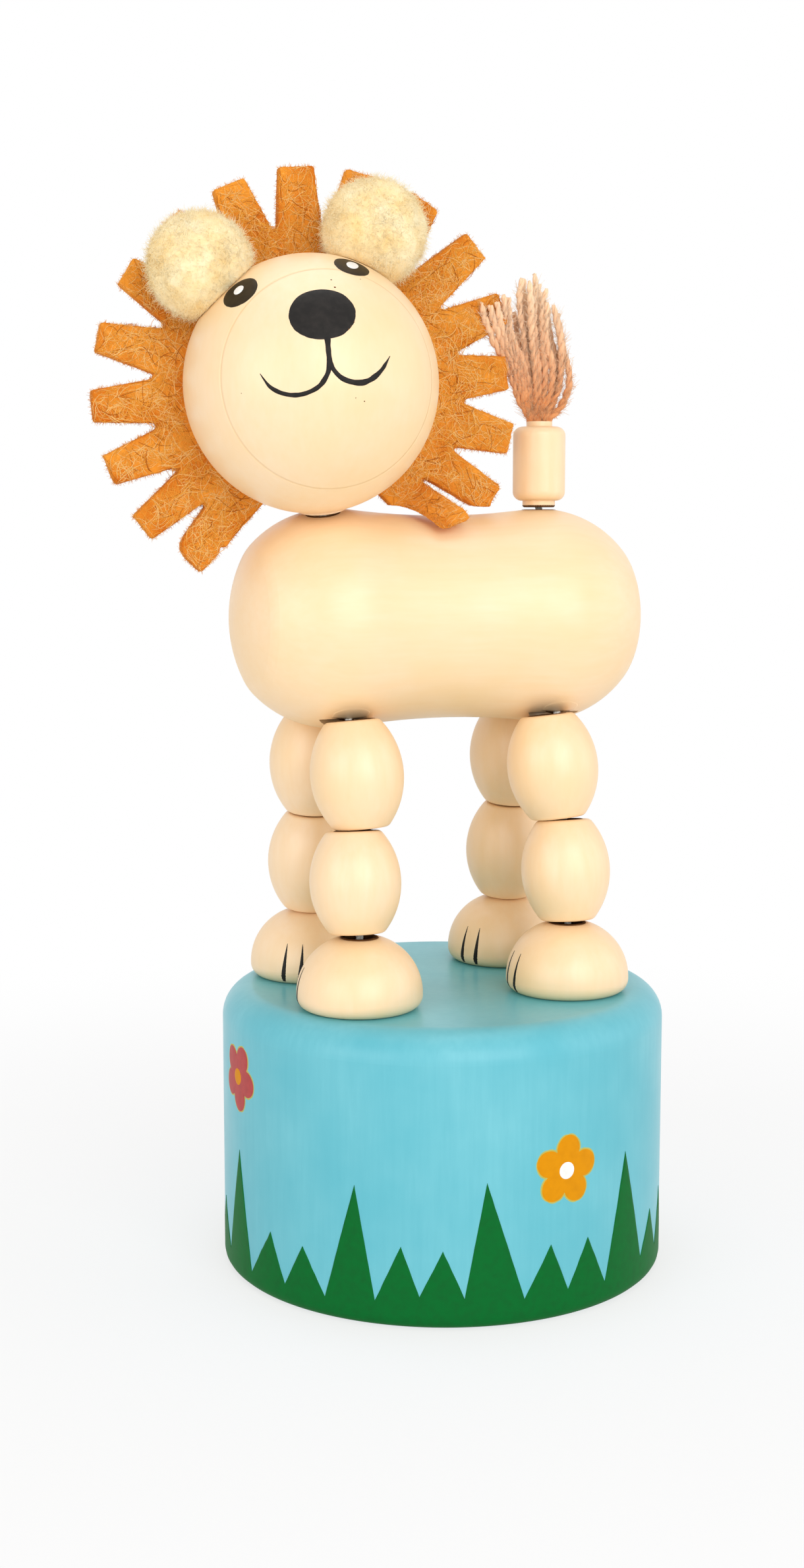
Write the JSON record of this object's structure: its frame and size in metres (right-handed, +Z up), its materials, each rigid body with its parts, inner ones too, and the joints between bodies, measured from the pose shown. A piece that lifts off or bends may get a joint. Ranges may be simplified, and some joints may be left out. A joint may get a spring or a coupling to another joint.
{
  "type": "push puppet lion",
  "caption": "Push puppet toy: a wooden lion of strung beads with a felt mane on a round painted base; pressing the button underneath lets it collapse.",
  "frame": {"origin": "centre of the base's flat underside, on the table", "axes": "+X towards the tail end, +Y towards the lion's right side, +Z up along the base's axis"},
  "size_m": [0.0571, 0.045, 0.1089],
  "materials": {
    "base_paint": "satin paint",
    "lion_paint": "satin paint",
    "button_wood": "bare sanded",
    "spring_steel": "drawn wire",
    "string_nylon": "twisted cord",
    "mane_felt": "pressed felt",
    "ear_fluff": "fluffy pile",
    "tuft_yarn": "spun yarn"
  },
  "bodies": {
    "base": {"base_drum": "base_paint", "return_spring": "spring_steel", "front_left_foot": "lion_paint", "front_right_foot": "lion_paint", "rear_left_foot": "lion_paint", "rear_right_foot": "lion_paint", "front_left_leg_string": "string_nylon", "front_right_leg_string": "string_nylon", "rear_left_leg_string": "string_nylon", "rear_right_leg_string": "string_nylon"},
    "button": {"push_button": "button_wood"},
    "front_left_lower_leg": {"front_left_shin": "lion_paint"},
    "front_left_upper_leg": {"front_left_thigh": "lion_paint"},
    "front_right_lower_leg": {"front_right_shin": "lion_paint"},
    "front_right_upper_leg": {"front_right_thigh": "lion_paint"},
    "rear_left_lower_leg": {"rear_left_shin": "lion_paint"},
    "rear_left_upper_leg": {"rear_left_thigh": "lion_paint"},
    "rear_right_lower_leg": {"rear_right_shin": "lion_paint"},
    "rear_right_upper_leg": {"rear_right_thigh": "lion_paint"},
    "torso": {"body": "lion_paint"},
    "neck": {"neck_string": "string_nylon"},
    "head": {"head": "lion_paint", "mane": "mane_felt", "left_ear": "ear_fluff", "right_ear": "ear_fluff"},
    "tail": {"tail_bead": "lion_paint", "tail_tuft": "tuft_yarn", "tail_string": "string_nylon"}
  },
  "joints": [
    {"name": "button_press", "type": "slide", "parent": "base", "child": "button", "axis": [0, 0, 1], "range_m": [0, 0.008], "stiffness_N_per_m": 600, "springref_m": -0.006, "deforming": ["return_spring", "front_left_leg_string", "front_right_leg_string", "rear_left_leg_string", "rear_right_leg_string"]},
    {"name": "front_left_ankle", "type": "hinge", "parent": "base", "child": "front_left_lower_leg", "pos_m": [-0.0139, -0.008, 0.03545], "axis": [0, -1, 0], "range_deg": [0, 60]},
    {"name": "front_left_knee", "type": "hinge", "parent": "front_left_lower_leg", "child": "front_left_upper_leg", "pos_m": [-0.0086, -0.00687, 0.04563], "axis": [0, 1, 0], "range_deg": [0, 120]},
    {"name": "front_right_ankle", "type": "hinge", "parent": "base", "child": "front_right_lower_leg", "pos_m": [-0.0139, 0.008, 0.03545], "axis": [0, -1, 0], "range_deg": [0, 60]},
    {"name": "front_right_knee", "type": "hinge", "parent": "front_right_lower_leg", "child": "front_right_upper_leg", "pos_m": [-0.0086, 0.00687, 0.04563], "axis": [0, 1, 0], "range_deg": [0, 120]},
    {"name": "rear_left_ankle", "type": "hinge", "parent": "base", "child": "rear_left_lower_leg", "pos_m": [0.0082, -0.008, 0.03545], "axis": [0, -1, 0], "range_deg": [0, 60]},
    {"name": "rear_left_knee", "type": "hinge", "parent": "rear_left_lower_leg", "child": "rear_left_upper_leg", "pos_m": [0.0135, -0.00687, 0.04563], "axis": [0, 1, 0], "range_deg": [0, 120]},
    {"name": "rear_right_ankle", "type": "hinge", "parent": "base", "child": "rear_right_lower_leg", "pos_m": [0.0082, 0.008, 0.03545], "axis": [0, -1, 0], "range_deg": [0, 60]},
    {"name": "rear_right_knee", "type": "hinge", "parent": "rear_right_lower_leg", "child": "rear_right_upper_leg", "pos_m": [0.0135, 0.00687, 0.04563], "axis": [0, 1, 0], "range_deg": [0, 120]},
    {"name": "front_left_hip", "type": "hinge", "parent": "front_left_upper_leg", "child": "torso", "pos_m": [-0.0149, -0.0056, 0.05621], "axis": [0, -1, 0], "range_deg": [0, 60]},
    {"name": "head_nod", "type": "hinge", "parent": "torso", "child": "neck", "pos_m": [-0.0117, 0, 0.06575], "axis": [0, -1, 0], "range_deg": [0, 20], "deforming": ["neck_string"]},
    {"name": "head_turn", "type": "hinge", "parent": "neck", "child": "head", "pos_m": [-0.0117, 0, 0.06575], "axis": [-0.1564, -0.2138, 0.9643], "range_deg": [-100, 20]},
    {"name": "tail_tilt", "type": "hinge", "parent": "torso", "child": "tail", "pos_m": [0.01215, 0, 0.0765], "axis": [0, 1, 0], "range_deg": [0, 45], "deforming": ["tail_string"]}
  ],
  "couplings": [
    {"joint": "front_left_ankle", "follows": "button_press", "rad_per_m": 130.9},
    {"joint": "front_left_knee", "follows": "button_press", "rad_per_m": 261.8},
    {"joint": "front_right_ankle", "follows": "button_press", "rad_per_m": 130.9},
    {"joint": "front_right_knee", "follows": "button_press", "rad_per_m": 261.8},
    {"joint": "rear_left_ankle", "follows": "button_press", "rad_per_m": 130.9},
    {"joint": "rear_left_knee", "follows": "button_press", "rad_per_m": 261.8},
    {"joint": "rear_right_ankle", "follows": "button_press", "rad_per_m": 130.9},
    {"joint": "rear_right_knee", "follows": "button_press", "rad_per_m": 261.8},
    {"joint": "front_left_hip", "follows": "button_press", "rad_per_m": 130.9},
    {"joint": "head_nod", "follows": "button_press", "rad_per_m": 43.633},
    {"joint": "tail_tilt", "follows": "button_press", "rad_per_m": 98.175}
  ]
}
